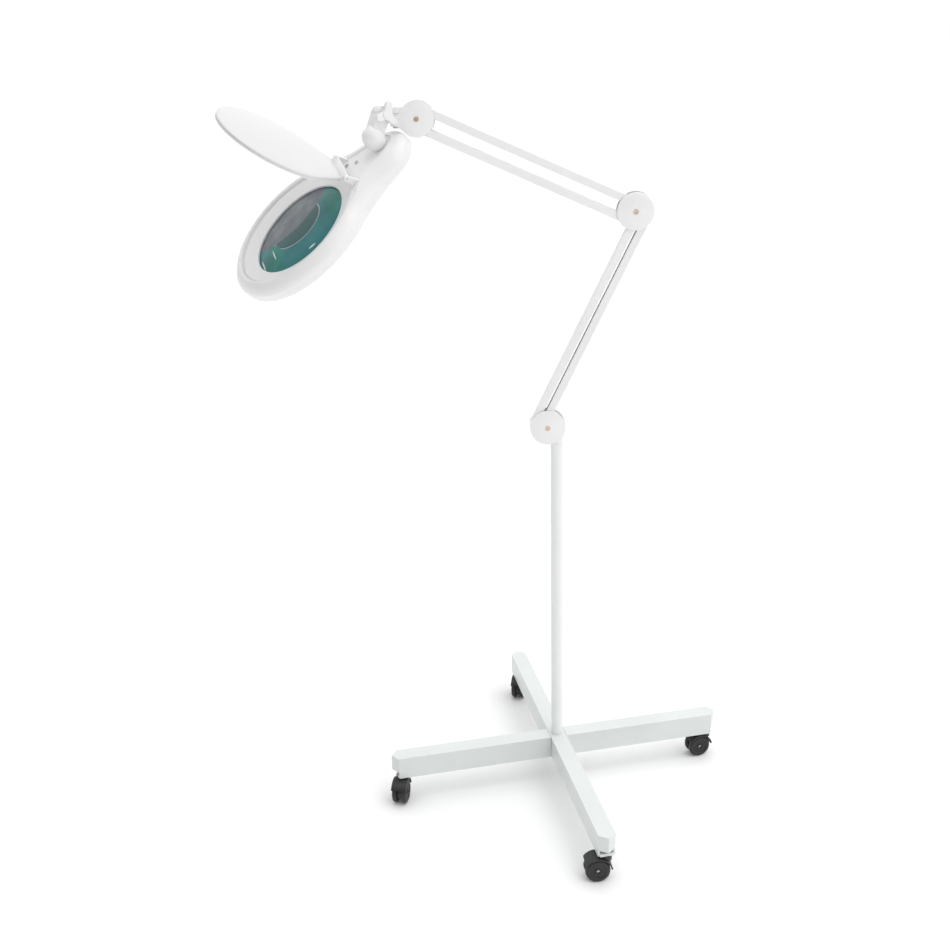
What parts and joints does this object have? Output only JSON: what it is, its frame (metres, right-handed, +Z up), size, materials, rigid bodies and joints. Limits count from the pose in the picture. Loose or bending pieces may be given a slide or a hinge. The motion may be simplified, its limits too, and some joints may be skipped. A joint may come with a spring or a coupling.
{
  "type": "magnifying lamp",
  "caption": "Floor-standing magnifying lamp with a cross-shaped caster base, a post, two parallel-bar arms, and a round lens head with a hinged lid.",
  "frame": {"origin": "on the floor under the centre line of the post", "axes": "+Z up along the post, both arms lie in the XZ plane with the lens end towards -X, +Y is the far side of the arm"},
  "size_m": [0.7785, 0.5768, 1.1613],
  "materials": {
    "white_enamel": "smooth powder coat",
    "white_plastic": "fine satin",
    "gloss_white": "glossy",
    "black_plastic": "fine grain",
    "steel": "machined",
    "brass": "polished",
    "rubber": "soft",
    "lens_glass": "clear, green tinted",
    "diffuser": "frosted",
    "circuit_board": "white solder mask"
  },
  "bodies": {
    "stand": {"long_leg_channel": "white_enamel", "short_leg_right": "white_enamel", "short_leg_left": "white_enamel", "hub_plate": "white_enamel", "caster_straps": "white_enamel", "post": "white_enamel", "post_foot": "steel", "foot_nut": "steel", "foot_washer": "steel", "cord_gland": "rubber", "post_bush": "white_plastic"},
    "caster_right": {"caster_right_hood": "black_plastic", "caster_right_stem_axle": "steel"},
    "caster_right_pair": {"caster_right_wheels": "black_plastic"},
    "caster_back": {"caster_back_hood": "black_plastic", "caster_back_stem_axle": "steel"},
    "caster_back_pair": {"caster_back_wheels": "black_plastic"},
    "caster_left": {"caster_left_hood": "black_plastic", "caster_left_stem_axle": "steel"},
    "caster_left_pair": {"caster_left_wheels": "black_plastic"},
    "caster_front": {"caster_front_hood": "black_plastic", "caster_front_stem_axle": "steel"},
    "caster_front_pair": {"caster_front_wheels": "black_plastic"},
    "base_bracket": {"base_yoke": "white_enamel", "base_spigot": "steel", "base_pins": "steel", "base_cover_near": "gloss_white", "base_cover_far": "gloss_white", "base_cover_screws": "brass"},
    "lower_arm": {"lower_bar_left": "white_enamel"},
    "lower_link": {"lower_bar_right": "white_enamel"},
    "elbow": {"elbow_plates": "steel", "elbow_pins": "steel", "elbow_cover_near": "gloss_white", "elbow_cover_far": "gloss_white", "elbow_cover_screws": "brass"},
    "upper_arm": {"upper_bar_top": "white_enamel"},
    "upper_link": {"upper_bar_bottom": "white_enamel"},
    "head_bracket": {"head_yoke": "white_enamel", "head_yoke_pins": "steel", "head_cover_near": "gloss_white", "head_cover_far": "gloss_white", "head_cover_screws": "brass"},
    "swivel": {"swivel_block": "white_enamel", "swivel_pin": "steel"},
    "crook": {"head_arch": "gloss_white", "tilt_nut": "steel", "turn_pin": "steel"},
    "knob": {"clamp_knob": "gloss_white", "clamp_stud": "steel"},
    "head": {"head_shell_upper": "gloss_white", "head_shell_lower": "gloss_white", "lens": "lens_glass", "light_board": "circuit_board", "light_diffuser": "diffuser", "head_screws": "steel", "lid_hinge_pin": "steel"},
    "switch": {"switch_button": "gloss_white"},
    "lid": {"lid": "gloss_white"}
  },
  "joints": [
    {"name": "caster_right_swivel", "type": "hinge", "parent": "stand", "child": "caster_right", "pos_m": [0.27144, 0.06869, 0.045], "axis": [0, 0, 1], "continuous": true},
    {"name": "caster_right_roll", "type": "hinge", "parent": "caster_right", "child": "caster_right_pair", "pos_m": [0.25923, 0.06424, 0.02], "axis": [0.342, -0.9397, 0], "continuous": true},
    {"name": "caster_back_swivel", "type": "hinge", "parent": "stand", "child": "caster_back", "pos_m": [-0.06869, 0.27144, 0.045], "axis": [0, 0, 1], "continuous": true},
    {"name": "caster_back_roll", "type": "hinge", "parent": "caster_back", "child": "caster_back_pair", "pos_m": [-0.0705, 0.25857, 0.02], "axis": [0.9903, -0.1392, 0], "continuous": true},
    {"name": "caster_left_swivel", "type": "hinge", "parent": "stand", "child": "caster_left", "pos_m": [-0.27144, -0.06869, 0.045], "axis": [0, 0, 1], "continuous": true},
    {"name": "caster_left_roll", "type": "hinge", "parent": "caster_left", "child": "caster_left_pair", "pos_m": [-0.27325, -0.08156, 0.02], "axis": [0.9903, -0.1392, 0], "continuous": true},
    {"name": "caster_front_swivel", "type": "hinge", "parent": "stand", "child": "caster_front", "pos_m": [0.06869, -0.27144, 0.045], "axis": [0, 0, 1], "continuous": true},
    {"name": "caster_front_roll", "type": "hinge", "parent": "caster_front", "child": "caster_front_pair", "pos_m": [0.05581, -0.27325, 0.02], "axis": [0.1392, -0.9903, 0], "continuous": true},
    {"name": "post_swivel", "type": "hinge", "parent": "stand", "child": "base_bracket", "pos_m": [0, 0, 0.634], "axis": [0, 0, 1], "continuous": true},
    {"name": "lower_arm_tilt", "type": "hinge", "parent": "base_bracket", "child": "lower_arm", "pos_m": [-0.037, 0, 0.6669], "axis": [0, 1, 0], "range_deg": [-62, 6]},
    {"name": "lower_link_tilt", "type": "hinge", "parent": "base_bracket", "child": "lower_link", "pos_m": [-0.02, 0, 0.6669], "axis": [0, 1, 0], "range_deg": [-62, 6]},
    {"name": "elbow_level", "type": "hinge", "parent": "lower_arm", "child": "elbow", "pos_m": [0.1199, 0, 0.991], "axis": [0, 1, 0], "range_deg": [-6, 62]},
    {"name": "upper_arm_tilt", "type": "hinge", "parent": "elbow", "child": "upper_arm", "pos_m": [0.102, 0, 1.01435], "axis": [0, 1, 0], "range_deg": [-58, 34]},
    {"name": "upper_link_tilt", "type": "hinge", "parent": "elbow", "child": "upper_link", "pos_m": [0.102, 0, 0.98485], "axis": [0, 1, 0], "range_deg": [-58, 34]},
    {"name": "head_level", "type": "hinge", "parent": "upper_arm", "child": "head_bracket", "pos_m": [-0.1995, 0, 1.14985], "axis": [0, 1, 0], "range_deg": [-34, 58]},
    {"name": "head_swivel", "type": "hinge", "parent": "head_bracket", "child": "swivel", "pos_m": [-0.2335, 0, 1.1347], "axis": [0, 0, 1], "range_deg": [-50, 9]},
    {"name": "head_tilt", "type": "hinge", "parent": "swivel", "child": "crook", "pos_m": [-0.25336, -0.01678, 1.1432], "axis": [-0.6455, 0.7638, 0], "range_deg": [0, 50]},
    {"name": "knob_turn", "type": "hinge", "parent": "crook", "child": "knob", "pos_m": [-0.25336, -0.01678, 1.1432], "axis": [0.6455, -0.7638, 0], "range_deg": [0, 180]},
    {"name": "head_turn", "type": "hinge", "parent": "crook", "child": "head", "pos_m": [-0.25643, -0.01932, 1.09954], "axis": [-0.5306, -0.4484, 0.7193], "range_deg": [-10, 35]},
    {"name": "lid_hinge", "type": "hinge", "parent": "head", "child": "lid", "pos_m": [-0.31417, -0.03021, 1.07033], "axis": [-0.327, 0.8912, 0.3143], "range_deg": [-68.4, 20]},
    {"name": "switch_press", "type": "slide", "parent": "head", "child": "switch", "axis": [-0.5306, -0.4484, 0.7193], "range_m": [0, 0.0015], "stiffness_N_per_m": 400}
  ],
  "couplings": [
    {"joint": "lower_link_tilt", "follows": "lower_arm_tilt", "ratio": 1},
    {"joint": "elbow_level", "follows": "lower_arm_tilt", "ratio": -1},
    {"joint": "upper_link_tilt", "follows": "upper_arm_tilt", "ratio": 1},
    {"joint": "head_level", "follows": "upper_arm_tilt", "ratio": -1}
  ]
}
